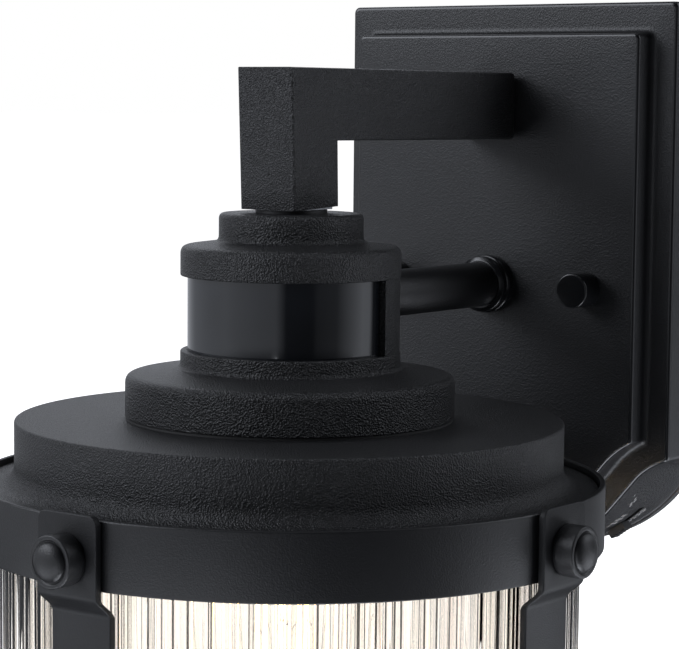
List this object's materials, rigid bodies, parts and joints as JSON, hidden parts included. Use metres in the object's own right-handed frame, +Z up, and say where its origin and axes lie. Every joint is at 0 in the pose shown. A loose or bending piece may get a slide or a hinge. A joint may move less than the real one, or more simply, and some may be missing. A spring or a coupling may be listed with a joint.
{
  "type": "outdoor wall lantern",
  "caption": "Black wall lantern with a ribbed glass cylinder in a strap cage, hung from a square arm, with a motion sensor in its neck.",
  "frame": {"origin": "centre of the bracket screwed to the wall, on the wall plane", "axes": "+Z up, -Y out of the wall towards the front of the lantern, +X to the right seen from the front"},
  "size_m": [0.2276, 0.2893, 0.3651],
  "materials": {
    "black_coat": "matte black powder coat, fine sand grain",
    "zinc_steel": "zinc plated steel",
    "ground_green": "green passivated screw",
    "rubber": "closed-cell rubber",
    "head_plastic": "matte black moulded plastic with leather grain",
    "lens_plastic": "glossy dark translucent lens",
    "board": "circuit board",
    "clear_glass": "clear ribbed glass",
    "lamp_glass": "clear lamp glass",
    "porcelain": "white porcelain",
    "brass": "plain brass",
    "filament": "warm glowing filament sticks",
    "wire": "wire insulation",
    "connector": "twist-on wire connectors"
  },
  "bodies": {
    "fixture": {"backplate": "black_coat", "wall_gasket": "rubber", "wall_bracket": "zinc_steel", "mount_studs": "zinc_steel", "stud_nuts": "zinc_steel", "cap_nuts": "black_coat", "ground_screw": "ground_green", "arm_beam": "black_coat", "arm_plug": "zinc_steel", "arm_plate": "zinc_steel", "arm_screws": "zinc_steel", "arm_post": "black_coat", "post_plug": "zinc_steel", "stem": "zinc_steel", "post_washer": "black_coat", "lid_nut": "zinc_steel", "conduit_tube": "black_coat", "conduit_ferrule": "black_coat", "conduit_nut": "zinc_steel", "sensor_housing": "head_plastic", "sensor_lens": "lens_plastic", "sensor_board": "board", "sensor_detectors": "zinc_steel", "sensor_base": "head_plastic", "sensor_screws": "zinc_steel", "head_gasket": "rubber", "lantern_lid": "black_coat", "top_band": "black_coat", "lid_screws": "zinc_steel", "knob_studs": "zinc_steel", "strap_front": "black_coat", "strap_right": "black_coat", "strap_back": "black_coat", "strap_left": "black_coat", "bottom_ring": "black_coat", "strap_rivets": "black_coat", "glass_top_gasket": "rubber", "glass_foot_gasket": "rubber", "glass_shade": "clear_glass", "holder_cap": "zinc_steel", "holder_body": "porcelain", "holder_shell": "brass", "holder_contact": "brass", "switch_body": "head_plastic", "relay_module": "head_plastic", "module_screws": "zinc_steel", "sensor_wires": "wire", "lamp_wires": "wire", "wire_connectors": "connector"},
    "knob_front": {"knob_front": "black_coat"},
    "knob_right": {"knob_right": "black_coat"},
    "knob_back": {"knob_back": "black_coat"},
    "knob_left": {"knob_left": "black_coat"},
    "time_slider": {"time_slider": "head_plastic"},
    "lamp": {"lamp_cap": "zinc_steel", "lamp_tip": "brass", "lamp_glass": "lamp_glass", "lamp_support": "zinc_steel", "lamp_filaments": "filament"}
  },
  "joints": [
    {"name": "knob_front_turn", "type": "hinge", "parent": "fixture", "child": "knob_front", "pos_m": [0, -0.2797, -0.0672], "axis": [0, 1, 0], "range_deg": [0, 360]},
    {"name": "knob_right_turn", "type": "hinge", "parent": "fixture", "child": "knob_right", "pos_m": [0.1042, -0.1755, -0.0672], "axis": [-1, 0, 0], "range_deg": [0, 360]},
    {"name": "knob_back_turn", "type": "hinge", "parent": "fixture", "child": "knob_back", "pos_m": [0, -0.0713, -0.0672], "axis": [0, -1, 0], "range_deg": [0, 360]},
    {"name": "knob_left_turn", "type": "hinge", "parent": "fixture", "child": "knob_left", "pos_m": [-0.1042, -0.1755, -0.0672], "axis": [1, 0, 0], "range_deg": [0, 360]},
    {"name": "time_slide", "type": "slide", "parent": "fixture", "child": "time_slider", "axis": [0.8039, 0, 0.5948], "range_m": [0, 0.0094]},
    {"name": "lamp_unscrew", "type": "hinge", "parent": "fixture", "child": "lamp", "pos_m": [0, -0.1755, -0.08], "axis": [0, 0, 1], "range_deg": [0, 360]}
  ]
}
